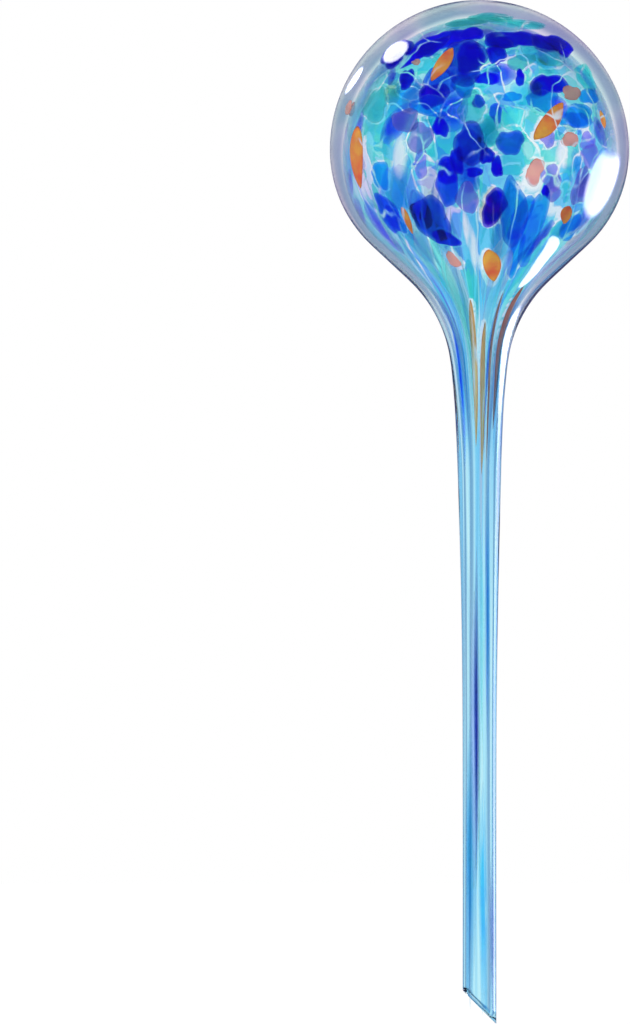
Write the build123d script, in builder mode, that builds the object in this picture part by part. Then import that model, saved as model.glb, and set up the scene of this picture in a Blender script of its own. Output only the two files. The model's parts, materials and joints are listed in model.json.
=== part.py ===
"""Blown glass watering globe: a clear casing with frit chips and drawn streaks of colour fused inside it.

Millimetres and degrees. The globe's axis is Z, with the mitred tip of the stem down at the origin and the
bulb on top. A bearing is an angle round the axis: 0 faces the viewer on the -Y side, and 90 is +X.
"""

import os
from math import cos, radians, sin

from build123d import *

# Outside of the stem, from the tip up: a straight shank, a long slow swell and a quicker waist
SHANK_DIAMETER = 8.9
SHANK_LENGTH = 64.0
SWELL_RADIUS = 2640.0
SWELL_ANGLE = 2.0
WAIST_RADIUS = 211.0
TIP_ANGLE = 45.0

# Neck and bulb
NECK_ANGLE = 7.0
NECK_RADIUS = 35.3
SHOULDER_ANGLE = 47.0
SHOULDER_OFFSET = 5.2
BULB_DIAMETER = 79.0

# Inside of the glass, which is thickest at the crown
BORE_DIAMETER = 6.0
WALL = 3.3
CROWN_WALL = 4.6
CHIP_THICKNESS = 0.4
STREAK_THICKNESS = 0.3

# Frit chips. Each row is bearing, fall, width, length and lean. A fall is a way down the inner face from the
# crown. Falls, widths and lengths are degrees of the cavity's curve, because the chips spread with the bulb
# as it is blown. A lean of 0 stands upright, and a positive one tips to the right.
COBALT_CHIPS = [
    (-25, 40, 11, 26, 64),
    (20, 39, 10, 25, 84),
    (53, 43, 12, 13, -56),
    (-21, 67, 11, 14, 90),
    (32, 62, 9, 20, 81),
    (-14, 98, 8, 13, -15),
    (6, 113, 9, 21, 11),
    (-19, 128, 8, 13, -69),
]
AZURE_CHIPS = [
    (-6, 54, 10, 14, 4),
    (-5, 87, 11, 12, 0),
    (43, 77, 7, 13, 90),
    (-45, 99, 10, 12, -11),
    (-44, 118, 9, 14, -16),
    (19, 118, 8, 26, 6),
]
TURQUOISE_CHIPS = [
    (36, 51, 6, 12, 81),
    (-50, 71, 13, 16, 16),
    (42, 123, 7, 11, 0),
]
LAVENDER_CHIPS = [
    (-25, 95, 6, 12, 5),
    (32, 105, 8, 11, -8),
    (48, 103, 7, 12, 10),
]
AMBER_CHIPS = [
    (-19, 53, 6, 13, 21),
    (-58, 91, 9, 19, 0),
    (29, 78, 7, 16, 44),
    (8, 143, 7, 15, -15),
]
CORAL_CHIPS = [
    (22, 98, 7, 12, 23),
    (38, 85, 6, 9, -81),
    (202, 100, 8, 16, 4),
]
PEBBLE_CORNERS = 6
SLIVER_CORNERS = 4

# The far side's chips wind down the bulb with an even spread, and take the colours in turn
FAR_CHIPS = 6
FAR_BEARINGS = (85.0, 275.0)
FAR_FALLS = (34.0, 130.0)
FAR_WIDTHS = (9.0, 12.0)
FAR_LENGTHS = (13.0, 18.0)
FAR_LEANS = (-60.0, 60.0)
GOLDEN_SHARE = 0.618

# Streaks drawn out of the chips as the stem was pulled. Each row is bearing, reach up the neck and reach down
# the throat, as shares of their heights, and spread round the axis.
COBALT_STREAKS = [(-55, 0.8, 0.7, 8), (150, 0.8, 0.6, 8)]
AZURE_STREAKS = [(-35, 0.8, 0.7, 8), (50, 0.8, 0.6, 8)]
AMBER_STREAKS = [(-12, 0.6, 0.5, 7), (8, 0.3, 0.7, 7)]
RUST_STREAKS = [(25, 0.7, 0.6, 6)]


def arc_centre(point, radius, slope):
    """Gives the centre of a hollow arc outside the wall, from a point on it and the wall's slope there."""
    return point[0] + radius * cos(radians(slope)), point[1] - radius * sin(radians(slope))


def arc_point(centre, radius, slope):
    """Gives the point of a hollow arc where the wall has this slope from upright."""
    return centre[0] - radius * cos(radians(slope)), centre[1] + radius * sin(radians(slope))


def between(ends, share):
    """Gives the value that lies this share of the way from the first end to the second."""
    return ends[0] + (ends[1] - ends[0]) * share


# The outer wall's arcs, as points of radius and height, each arc tangent to the one below it
SHANK_RADIUS = SHANK_DIAMETER / 2
BULB_RADIUS = BULB_DIAMETER / 2
SHOULDER_RADIUS = BULB_RADIUS - SHOULDER_OFFSET
SWELL_CENTRE = arc_centre((SHANK_RADIUS, SHANK_LENGTH), SWELL_RADIUS, 0)
SWELL_TOP = arc_point(SWELL_CENTRE, SWELL_RADIUS, SWELL_ANGLE)
WAIST_CENTRE = arc_centre(SWELL_TOP, WAIST_RADIUS, SWELL_ANGLE)
WAIST_TOP = arc_point(WAIST_CENTRE, WAIST_RADIUS, NECK_ANGLE)
NECK_CENTRE = arc_centre(WAIST_TOP, NECK_RADIUS, NECK_ANGLE)
NECK_TOP = arc_point(NECK_CENTRE, NECK_RADIUS, SHOULDER_ANGLE)
SHOULDER_SIN = sin(radians(SHOULDER_ANGLE))
SHOULDER_COS = cos(radians(SHOULDER_ANGLE))
CONE_RUN = SHOULDER_OFFSET + SHOULDER_RADIUS * SHOULDER_COS - NECK_TOP[0]
BULB_HEIGHT = NECK_TOP[1] + CONE_RUN * SHOULDER_COS / SHOULDER_SIN + SHOULDER_RADIUS * SHOULDER_SIN

# The cavity sits lower than the bulb, so its crown is thick, and its neck runs even with the outer one
CAVITY_RADIUS = BULB_RADIUS - WALL
CAVITY_DROP = CROWN_WALL - WALL
CAVITY_HEIGHT = BULB_HEIGHT - CAVITY_DROP
SHOULDER_CAVITY_RADIUS = SHOULDER_RADIUS - WALL
NECK_WALL = WALL - CAVITY_DROP * SHOULDER_SIN
BORE_RADIUS = BORE_DIAMETER / 2
THROAT_TOP = arc_point(NECK_CENTRE, NECK_RADIUS + NECK_WALL, NECK_ANGLE)
THROAT_RADIUS = (THROAT_TOP[0] - BORE_RADIUS) / (1 - cos(radians(NECK_ANGLE)))
THROAT_CENTRE = arc_centre(THROAT_TOP, THROAT_RADIUS, NECK_ANGLE)
BORE_TOP = THROAT_CENTRE[1]


def bulb_and_shoulder(radius, shoulder_radius, height):
    """Draws a bulb from its crown to the top of the cone."""
    CenterArc((0, height), radius, 90, -90)
    return CenterArc((SHOULDER_OFFSET, height), shoulder_radius, 0, -SHOULDER_ANGLE)


def neck(inset):
    """Draws the neck from the cone to its foot, this far inside the outer wall."""
    turn = SHOULDER_ANGLE - NECK_ANGLE
    return CenterArc(NECK_CENTRE, NECK_RADIUS + inset, 180 - SHOULDER_ANGLE, turn)


def throat(inset):
    """Draws the curve that eases the inside of the neck into the bore, this far inside the wall."""
    return CenterArc(THROAT_CENTRE, THROAT_RADIUS + inset, 180 - NECK_ANGLE, NECK_ANGLE)


def bearing_plane(bearing):
    """Gives the upright plane through the axis at a bearing, with its X outwards and its Y up."""
    turn = radians(bearing)
    return Plane((0, 0, 0), x_dir=(sin(turn), -cos(turn), 0), z_dir=(-cos(turn), -sin(turn), 0))


# Clear casing: bulb, neck and stem are one blown piece, cut to a mitre at the tip
with BuildPart() as clear_casing:
    with BuildSketch(Plane.XZ):
        with BuildLine():
            outer_shoulder = bulb_and_shoulder(BULB_RADIUS, SHOULDER_RADIUS, BULB_HEIGHT)
            outer_neck = neck(0)
            Line(outer_shoulder @ 1, outer_neck @ 0)
            CenterArc(WAIST_CENTRE, WAIST_RADIUS, 180 - NECK_ANGLE, NECK_ANGLE - SWELL_ANGLE)
            CenterArc(SWELL_CENTRE, SWELL_RADIUS, 180 - SWELL_ANGLE, SWELL_ANGLE)
            shank_top = (SHANK_RADIUS, SHANK_LENGTH)
            Polyline(shank_top, (SHANK_RADIUS, 0), (BORE_RADIUS, 0), (BORE_RADIUS, BORE_TOP))
            throat(0)
            inner_neck = neck(NECK_WALL)
            inner_shoulder = bulb_and_shoulder(CAVITY_RADIUS, SHOULDER_CAVITY_RADIUS, CAVITY_HEIGHT)
            Line(inner_shoulder @ 1, inner_neck @ 0)
            Line((0, CAVITY_HEIGHT + CAVITY_RADIUS), (0, BULB_HEIGHT + BULB_RADIUS))
        make_face()
    revolve(axis=Axis.Z)
    tip_turn = radians(TIP_ANGLE)
    tip_plane = Plane((SHANK_RADIUS, 0, 0), z_dir=(sin(tip_turn), 0, cos(tip_turn)))
    split(bisect_by=tip_plane, keep=Keep.TOP)

# The line of the cavity's wall from the crown to the neck, with the radius as X and the height as Y
with BuildLine() as cavity_wall:
    cavity_shoulder = bulb_and_shoulder(CAVITY_RADIUS, SHOULDER_CAVITY_RADIUS, CAVITY_HEIGHT)
    cavity_neck = neck(NECK_WALL)
    Line(cavity_shoulder @ 1, cavity_neck @ 0)


def make_chip(bearing, fall, width, length, lean, corners):
    """Makes one chip, a many-sided flake of even thickness that follows the cavity's wall."""
    degree = CAVITY_RADIUS * radians(1)
    wall_line = cavity_wall.wire()
    spot = wall_line.position_at(fall * degree, PositionMode.LENGTH)
    slope = wall_line.tangent_at(fall * degree, PositionMode.LENGTH)
    upright = bearing_plane(bearing)
    outwards = upright.x_dir * -slope.Y + upright.y_dir * slope.X
    wall_spot = upright.from_local_coords((spot.X, spot.Y))
    curve_radius = CAVITY_RADIUS if spot.Y > CAVITY_HEIGHT else SHOULDER_CAVITY_RADIUS
    outline = []
    for number in range(corners):
        turn = radians(90 + 360 * number / corners)
        outline.append((cos(turn) * width * degree / 2, sin(turn) * length * degree / 2))
    with BuildPart() as chip:
        with BuildSketch(Plane(wall_spot, x_dir=-upright.z_dir, z_dir=outwards)):
            Polygon(*outline, rotation=-lean, align=None)
        extrude(amount=width * degree, both=True)
        with Locations(wall_spot - outwards * curve_radius):
            Sphere(curve_radius, mode=Mode.INTERSECT)
            Sphere(curve_radius - CHIP_THICKNESS, mode=Mode.SUBTRACT)
    return chip.part


def make_streak(bearing, reach_up, reach_down, spread):
    """Makes one streak, a strip of even thickness on the inside of the neck and the throat."""
    top = between((THROAT_TOP[1], NECK_TOP[1]), reach_up)
    foot = between((THROAT_TOP[1], BORE_TOP), reach_down)
    with BuildPart() as streak:
        with BuildSketch(bearing_plane(bearing - spread / 2)):
            with BuildLine():
                wall_top = neck(NECK_WALL) @ 0
                face_top = neck(NECK_WALL + STREAK_THICKNESS) @ 0
                wall_foot = throat(0) @ 1
                face_foot = throat(STREAK_THICKNESS) @ 1
                Line(wall_top, face_top)
                Line(wall_foot, face_foot)
            make_face()
            with Locations((BULB_RADIUS / 2, (top + foot) / 2)):
                Rectangle(BULB_RADIUS, top - foot, mode=Mode.INTERSECT)
        revolve(axis=Axis.Z, revolution_arc=spread)
    return streak.part


def write_group(name, pieces):
    """Gathers the separate pieces of one colour and writes them."""
    with BuildPart() as group:
        for piece in pieces:
            add(piece)
    group.part.label = name
    export_step(group.part, f"parts/{name}.step")


os.makedirs("parts", exist_ok=True)
clear_casing.part.label = "clear_casing"
export_step(clear_casing.part, "parts/clear_casing.step")

chip_colours = {
    "cobalt_chips": (COBALT_CHIPS, PEBBLE_CORNERS),
    "azure_chips": (AZURE_CHIPS, PEBBLE_CORNERS),
    "turquoise_chips": (TURQUOISE_CHIPS, PEBBLE_CORNERS),
    "lavender_chips": (LAVENDER_CHIPS, PEBBLE_CORNERS),
    "amber_chips": (AMBER_CHIPS, SLIVER_CORNERS),
    "coral_chips": (CORAL_CHIPS, PEBBLE_CORNERS),
}
for number, name in enumerate(chip_colours):
    rows, corners = chip_colours[name]
    far_rows = []
    for far_number in range(number, FAR_CHIPS, len(chip_colours)):
        spin = far_number * GOLDEN_SHARE % 1
        far_bearing = between(FAR_BEARINGS, spin)
        far_fall = between(FAR_FALLS, far_number / (FAR_CHIPS - 1))
        far_width = between(FAR_WIDTHS, spin)
        far_length = between(FAR_LENGTHS, spin)
        far_lean = between(FAR_LEANS, spin)
        far_rows.append((far_bearing, far_fall, far_width, far_length, far_lean))
    write_group(name, [make_chip(*row, corners) for row in rows + far_rows])

write_group("cobalt_streaks", [make_streak(*row) for row in COBALT_STREAKS])
write_group("azure_streaks", [make_streak(*row) for row in AZURE_STREAKS])
write_group("amber_streaks", [make_streak(*row) for row in AMBER_STREAKS])
write_group("rust_streaks", [make_streak(*row) for row in RUST_STREAKS])
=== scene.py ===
"""Looks of a blown glass watering globe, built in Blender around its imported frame.

Metres. The globe's axis is Z, the mitred tip of its stem is at the origin, and -Y faces the viewer. A place
on the glass is a bearing round the axis, 0 at the viewer and positive towards +X, and a fall, the way down
the wall from the crown. A depth is measured from the casing's inner wall towards the axis.
"""

import json
from math import pi, radians, tan

import bmesh
import bpy
import numpy as np
from bpy.props import FloatProperty, FloatVectorProperty, IntProperty, PointerProperty
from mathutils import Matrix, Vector
from mathutils.bvhtree import BVHTree
from mathutils.kdtree import KDTree

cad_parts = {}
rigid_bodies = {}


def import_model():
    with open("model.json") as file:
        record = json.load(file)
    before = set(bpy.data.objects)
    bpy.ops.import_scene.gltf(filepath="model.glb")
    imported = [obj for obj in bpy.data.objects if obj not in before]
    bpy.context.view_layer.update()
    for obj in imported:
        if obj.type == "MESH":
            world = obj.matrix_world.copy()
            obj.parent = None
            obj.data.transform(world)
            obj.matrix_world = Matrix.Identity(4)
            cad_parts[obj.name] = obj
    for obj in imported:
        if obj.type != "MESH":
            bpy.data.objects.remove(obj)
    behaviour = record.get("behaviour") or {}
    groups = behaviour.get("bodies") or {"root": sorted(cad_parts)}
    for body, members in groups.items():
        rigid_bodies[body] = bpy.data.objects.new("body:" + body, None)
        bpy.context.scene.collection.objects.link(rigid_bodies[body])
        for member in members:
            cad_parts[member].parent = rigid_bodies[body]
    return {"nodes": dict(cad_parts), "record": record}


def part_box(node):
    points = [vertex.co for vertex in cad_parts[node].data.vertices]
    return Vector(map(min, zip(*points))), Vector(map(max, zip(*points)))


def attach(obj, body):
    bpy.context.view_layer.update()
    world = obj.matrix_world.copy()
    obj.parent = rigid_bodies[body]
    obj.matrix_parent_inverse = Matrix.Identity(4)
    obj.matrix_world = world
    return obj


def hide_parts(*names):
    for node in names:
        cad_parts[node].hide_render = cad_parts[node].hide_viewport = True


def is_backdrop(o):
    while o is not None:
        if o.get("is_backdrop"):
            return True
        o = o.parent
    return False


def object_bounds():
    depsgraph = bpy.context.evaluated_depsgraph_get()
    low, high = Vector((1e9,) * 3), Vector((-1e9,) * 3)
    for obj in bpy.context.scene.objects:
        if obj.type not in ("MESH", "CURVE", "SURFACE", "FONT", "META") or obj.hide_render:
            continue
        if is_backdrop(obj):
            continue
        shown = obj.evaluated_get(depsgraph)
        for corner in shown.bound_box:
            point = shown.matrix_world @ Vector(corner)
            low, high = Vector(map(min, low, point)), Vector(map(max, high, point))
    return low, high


bl_info = {
    "name": "Watering globe",
    "version": (1, 0, 0),
    "blender": (4, 5, 0),
    "location": "View3D > Sidebar > Globe",
    "description": "Builds a blown glass watering globe with coloured frit on the inside of its bulb",
    "category": "Object",
}

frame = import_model()
CAD_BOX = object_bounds()
MM = 0.001

# Places that follow from the frame
CASING_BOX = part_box("clear_casing")
BULB_RADIUS = CASING_BOX[1].x
BULB_HEIGHT = CASING_BOX[1].z - BULB_RADIUS
STEM = next(mount for mount in frame["record"]["mounts"] if mount["name"] == "stem")
STEM_RADIUS = STEM["dims"]["r_mm"] * MM

# The photo's frame in pixels, and where the globe's axis stands in it
PHOTO_WIDTH = 630
PHOTO_HEIGHT = 1024
AXIS_COLUMN = 479.5
PIXEL = CASING_BOX[1].z / PHOTO_HEIGHT
BALL_ROW = PHOTO_HEIGHT - BULB_HEIGHT / PIXEL

# Frit by colour. Warm frit is half matt, and cool frit is clear
COOL_COLOURS = ("cobalt", "azure", "turquoise", "lavender")
WARM_COLOURS = ("amber", "coral", "rust")
CHIP_COLOURS = (*COOL_COLOURS, "amber", "coral")

# Layers that the colours are melted into, by depth. A depth below zero is in the glass of the wall
CHIP_GAP = -0.45 * MM
FAR_CHIP_GAP = 0.34 * MM
CHIP_DEPTH = 0.34 * MM
SMALL_GAP = -0.80 * MM
SMALL_DEPTH = 0.26 * MM
WARM_GAP = -1.24 * MM
WARM_SMALL_GAP = -1.54 * MM
STREAK_GAP = -1.0 * MM
SPECK_GAP = 0.06 * MM
SPECK_DEPTH = 0.22 * MM
THREAD_GAP = -0.55 * MM

# Beyond this bearing the wall is seen so edge-on that chips lie just inside the cavity
LIMB_BEARING = radians(62)

# Smaller chips on the near side. Each row is where the photo shows a chip's middle, in pixels from the left
# and the top, then its width, its height and its lean in degrees to the right.
SMALL_CHIPS = {
    "cobalt": [
        (397, 57, 20, 34, 45),
        (416, 58, 44, 13, -32),
        (432, 51, 32, 14, -28),
        (471, 38, 24, 13, 0),
        (497, 46, 26, 14, 10),
        (546, 47, 34, 17, 14),
        (469, 62, 26, 32, 0),
        (495, 59, 18, 20, 0),
        (486, 83, 22, 13, 0),
        (518, 82, 9, 16, 0),
        (407, 83, 13, 22, 15),
        (440, 131, 14, 20, -15),
        (456, 164, 14, 25, -10),
        (485, 159, 14, 17, 30),
        (473, 175, 17, 9, 0),
        (495, 170, 12, 19, 0),
        (543, 193, 7, 12, 0),
    ],
    "royal": [
        (463, 66, 44, 42, 0),
        (440, 84, 30, 26, 0),
        (477, 106, 13, 12, 0),
        (494, 117, 12, 19, 0),
        (508, 146, 25, 25, 0),
        (469, 148, 33, 38, 0),
        (447, 185, 22, 42, 0),
        (431, 220, 32, 46, -22),
        (389, 214, 15, 44, -28),
    ],
    "azure": [
        (462, 90, 22, 22, 0),
        (431, 110, 36, 22, 15),
        (540, 104, 32, 20, 0),
        (510, 101, 19, 9, -10),
        (572, 119, 34, 25, 0),
        (511, 214, 26, 62, 4),
        (586, 99, 18, 16, 0),
        (531, 229, 18, 76, 16),
        (514, 256, 12, 44, 14),
        (568, 228, 15, 30, 28),
        (447, 62, 10, 18, 0),
    ],
    "turquoise": [
        (465, 26, 38, 8, -6),
        (517, 26, 50, 8, 5),
        (490, 20, 44, 7, 0),
        (583, 80, 17, 26, -25),
        (541, 59, 40, 18, 12),
        (519, 66, 26, 15, -15),
        (509, 173, 22, 11, 0),
        (470, 112, 26, 30, 20),
        (512, 122, 22, 26, 0),
    ],
    "lavender": [
        (406, 124, 24, 24, 0),
        (545, 141, 14, 18, 0),
        (420, 141, 22, 30, 5),
        (585, 143, 14, 18, 0),
        (587, 158, 16, 24, 0),
        (578, 188, 15, 38, 12),
        (549, 180, 18, 26, 0),
        (466, 200, 20, 30, 0),
    ],
    "amber": [
        (563, 215, 11, 18, 15),
        (599, 122, 5, 18, -15),
        (408, 220, 6, 28, -22),
    ],
    "coral": [
        (568, 97, 18, 13, 0),
        (453, 259, 9, 17, -40),
        (417, 67, 8, 6, 0),
        (350, 110, 6, 13, 15),
    ],
}

# Pale patches of the film on the near side: where the photo shows a patch's middle, in pixels, and how far it
# reaches across the wall and along it
PALE_PATCHES = [
    (396, 150, 9, 24),
    (410, 138, 4, 20),
    (357, 185, 15, 17),
    (465, 226, 3, 24),
    (473, 250, 3.5, 28),
    (565, 157, 11, 11),
    (532, 184, 10, 10),
    (552, 206, 10, 12),
    (496, 90, 6, 6),
]

# How far the film pales round the frit, and on the wall straight behind or before warm frit
CHIP_HALO = 0.65 * MM
WARM_CHIP_HALO = 0.7 * MM
FACING_CHIP_HALO = 1.3 * MM
WARM_STREAK_HALO = 0.6 * MM
FACING_STREAK_HALO = 1.0 * MM

# Long streaks on the near side of the stem: the frit, then its column, its first and last row and its width
STEM_STREAKS = [
    ("cobalt", 477, 545, 890, 5),
    ("azure", 472, 720, 1010, 9),
    ("azure", 482, 780, 1015, 8),
    ("azure", 486, 440, 760, 4),
    ("lavender", 490, 850, 1010, 6),
    ("lavender", 475, 590, 890, 6),
    ("azure", 463, 295, 470, 8),
    ("rust", 496, 285, 430, 4),
    ("turquoise", 470, 255, 420, 10),
    ("turquoise", 487, 250, 440, 10),
]

# Specks on the sides and the back, where no small chips are placed: the spacing of each colour, and how much
# longer they are at the neck
SPECK_SPACING = {
    "cobalt": 17 * MM,
    "azure": 15 * MM,
    "turquoise": 15 * MM,
    "lavender": 24 * MM,
    "amber": 40 * MM,
    "coral": 40 * MM,
}
SPECK_STRETCH = 3.0
NEAR_BEARING = radians(75)
CLEAR_MARGIN = 5 * MM

# Threads: how many of each colour are in the neck and how far each spreads round it, in radians, then the
# same for the stem, and their shortest and longest lengths
THREADS = {
    "azure": (10, 0.20, 2, 0.45),
    "cobalt": (2, 0.10, 1, 0.20),
    "turquoise": (13, 0.22, 2, 0.45),
    "lavender": (3, 0.14, 2, 0.35),
}
NECK_THREAD_LENGTHS = (22 * MM, 45 * MM)
STEM_THREAD_LENGTHS = (50 * MM, 110 * MM)
TIP_LENGTH = 9 * MM

# How far the pattern is drawn out below the bulb: a small share makes long streaks
FILM_STRETCH = 0.12
DRAW_LENGTH = 14 * MM
FILM_FADE = 45 * MM

# Sizes of the glass's patterns, as shares of the bulb's radius: the film's cells, their wander, the breaks in
# the veins between them, the haze of the clear wall and the streaks of the stem
CELL_SIZE = 12.5 * MM / BULB_RADIUS
SMALL_CELL_SIZE = 0.45 * CELL_SIZE
SMALL_CELL_SHARE = 0.36
WANDER_SIZE = 20.7895 * MM / BULB_RADIUS
BREAK_SIZE = 13.1667 * MM / BULB_RADIUS
HAZE_SIZE = 17.9545 * MM / BULB_RADIUS
STREAK_SIZE = 33.575 * MM / BULB_RADIUS

# Glass. A strength is how deep a colour stays where it is drawn out or melted thin: 1 is the whole chip's
GLASS_IOR = 1.5
CASING_SHINE = {"Roughness": 0.0, "IOR": GLASS_IOR, "Transmission Weight": 1.0}
DRAWN_STRENGTH = {"neck": 0.56, "stem": 0.5}
WARM_DRAWN_STRENGTH = 0.42
THIN_STRENGTH = 0.42
WARM_THIN_STRENGTH = 0.22
WHITE = (1.0, 1.0, 1.0, 1.0)
BLACK = (0.0, 0.0, 0.0, 1.0)
SMOOTH = {"interpolation_type": "SMOOTHSTEP"}

# The tent's collar, as an angle from the way to the viewer or from the way behind
COLLAR_ANGLE = radians(27)
COLLAR_HALF_WIDTH = radians(19)

# Softboxes, by the highlight that each leaves on the bulb, in the photo's pixels: its middle, half its width,
# half its height and its lean in degrees, then the share of its brightness at its upper end
SOFTBOXES = [
    (600.7, 184, 15, 47, 18, 0.08),
    (397.5, 51, 8, 15.6, 50, 1.0),
    (357.5, 75.5, 3, 16, 35, 1.0),
    (551, 260, 7.5, 12, 0, 1.0),
]

# How finely the meshes are divided
CASING_SEGMENTS = 188
OUTER_RING_STEP = 1.2 * MM
INNER_RING_STEP = 0.65 * MM
FINE_LENGTH = 60 * MM
STEM_RINGS = 50
OUTLINE_POINTS = 44
WALL_STEP = 0.1 * MM
PATCH_STEP = 1.5 * MM
PATCH_SEGMENTS = 96
GOLDEN_SHARE = 0.618


def linear(code):
    """Turns a hex sRGB colour into linear light."""
    parts = [int(code[start : start + 2], 16) / 255 for start in (1, 3, 5)]
    return tuple(part / 12.92 if part <= 0.04045 else ((part + 0.055) / 1.055) ** 2.4 for part in parts)


def opaque(colour):
    """Gives a colour socket's four values."""
    return (*colour, 1.0)


def round_turns(count):
    """Gives evenly spaced angles all the way round."""
    return np.arange(count) * 2 * pi / count


def turn_between(bearings, middle):
    """Gives the turns from a middle bearing to others, the short way round."""
    return (bearings - middle + pi) % (2 * pi) - pi


def add_node(tree, kind, inputs=(), **settings):
    """Adds a node with its settings, and sets or links its inputs, by name or in order.

    A node among the inputs means its first output in use. A Map Range takes, in order, a value, the range
    that it comes from and the range that it goes to. A random number has its limits at 2 and 3 and its seed
    at 8, and a Mix its share at 0 and its values at 2 and 3.
    """
    node = tree.nodes.new(kind)
    for name, value in settings.items():
        setattr(node, name, value)
    named = inputs if isinstance(inputs, dict) else dict(enumerate(inputs))
    for name, value in named.items():
        if isinstance(value, bpy.types.Node):
            value = next(socket for socket in value.outputs if socket.enabled)
        if isinstance(value, bpy.types.NodeSocket):
            tree.links.new(value, node.inputs[name])
        else:
            node.inputs[name].default_value = value
    return node


class Wall:
    """One face of the casing: a line of radius and height, from the crown down, turned round the axis."""

    def __init__(self, inner):
        line = self.cad_line(inner)
        fall = np.concatenate([[0], np.cumsum(np.hypot(*np.diff(line, axis=0).T))])
        slope = np.gradient(line, fall, axis=0)
        slope[0] = (1, 0)
        self.fall = np.arange(0, fall[-1], WALL_STEP)
        spot = np.clip(np.searchsorted(fall, self.fall, side="right") - 1, 0, len(fall) - 2)
        span = np.diff(fall)[spot, None]
        t = (self.fall - fall[spot])[:, None] / span
        self.line = (
            (1 + 2 * t) * (1 - t) ** 2 * line[spot]
            + t * (1 - t) ** 2 * span * slope[spot]
            + t**2 * (3 - 2 * t) * line[spot + 1]
            + t**2 * (t - 1) * span * slope[spot + 1]
        )
        along = np.gradient(self.line, axis=0)
        along /= np.linalg.norm(along, axis=1, keepdims=True)
        self.outwards = np.stack([-along[:, 1], along[:, 0]], axis=1)

    def cad_line(self, inner):
        """Reads the line off the CAD casing, without the cut of its tip. Glass lies outside an inner face."""
        tip_height = 2.2 * STEM_RADIUS
        ray_start = 0.1 * MM
        least_step = 0.4 * MM
        mesh = frame["nodes"]["clear_casing"].data
        corners = [vertex.co for vertex in mesh.vertices]
        rays = BVHTree.FromPolygons(corners, [face.vertices for face in mesh.polygons])
        spots = set()
        for face in mesh.polygons:
            centre = face.center
            if centre.z < tip_height and abs(face.normal.z) > 0.5:
                continue
            way = Vector((centre.x, centre.y, max(0, centre.z - BULB_HEIGHT))).normalized()
            covered = rays.ray_cast(centre + way * ray_start, way)[0] is not None
            if covered == inner:
                for number in face.vertices:
                    place = mesh.vertices[number].co
                    spots.add((round(place.z, 6), round(place.xy.length, 6)))
        line = []
        for height, radius in sorted(spots, reverse=True):
            if not line or np.hypot(line[-1][0] - radius, line[-1][1] - height) > least_step:
                line.append((radius, height))
        line = np.array(line)
        line[0, 0] = 0
        return line

    def outward(self, fall):
        """Gives the way out of the wall at a fall, as its parts of radius and height."""
        out_radius = np.interp(fall, self.fall, self.outwards[:, 0])
        out_height = np.interp(fall, self.fall, self.outwards[:, 1])
        return out_radius, out_height

    def at(self, fall, depth=0.0):
        """Gives the radius and height at a fall, this deep inside the wall."""
        out_radius, out_height = self.outward(fall)
        radius = np.interp(fall, self.fall, self.line[:, 0]) - depth * out_radius
        height = np.interp(fall, self.fall, self.line[:, 1]) - depth * out_height
        return radius, height

    def place(self, bearing, fall, depth=0.0):
        """Gives points in space from bearings, falls and depths."""
        radius, height = self.at(fall, depth)
        return np.stack([radius * np.sin(bearing), -radius * np.cos(bearing), height], axis=-1)

    def fall_of(self, points):
        """Gives the falls of the spots on the wall that are nearest to points in space."""
        coarse = slice(None, None, 4)
        batch_size = 4000
        line = self.line[coarse]
        falls = []
        for batch in np.array_split(points, len(points) // batch_size + 1):
            flat = np.stack([np.hypot(batch[:, 0], batch[:, 1]), batch[:, 2]], axis=1)
            gaps = ((flat[:, None, :] - line[None, :, :]) ** 2).sum(axis=2)
            falls.append(self.fall[coarse][gaps.argmin(axis=1)])
        falls = np.concatenate(falls)
        radius, height = self.at(falls)
        out_radius, out_height = self.outward(falls)
        ahead = np.hypot(points[:, 0], points[:, 1]) - radius
        return falls + ahead * out_height - (points[:, 2] - height) * out_radius

    def press(self, points, depth):
        """Moves points straight onto the wall, and then to their depths."""
        return self.place(bearing_of(points), self.fall_of(points), depth)


def bearing_of(points):
    """Gives the bearings of points in space."""
    return np.arctan2(points[:, 0], -points[:, 1])


OUTER_WALL = Wall(inner=False)
INNER_WALL = Wall(inner=True)
BULB_FALL = INNER_WALL.fall_of(np.array([[BULB_RADIUS, 0, BULB_HEIGHT]]))[0]
STEM_FALL = INNER_WALL.fall[-1]
NECK_FALL = np.interp(-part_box("cobalt_streaks")[1].z, -INNER_WALL.line[:, 1], INNER_WALL.fall)


def flow_of(bearing, fall):
    """Gives the place that a pattern reads: a ball over the bulb, drawn out below it into long streaks."""
    turn = np.minimum(fall / BULB_FALL, 1) * pi / 2
    below = np.maximum(fall - BULB_FALL, 0)
    eased = DRAW_LENGTH * (1 - np.exp(-below / DRAW_LENGTH))
    drop = (FILM_STRETCH * below + (1 - FILM_STRETCH) * eased) / BULB_RADIUS
    out = np.sin(turn)
    return np.stack([out * np.sin(bearing), -out * np.cos(bearing), np.cos(turn) - drop], axis=-1)


def wall_flow(points):
    """Gives the places that a pattern reads at points on the inner wall."""
    return flow_of(bearing_of(points), INNER_WALL.fall_of(points))


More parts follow.
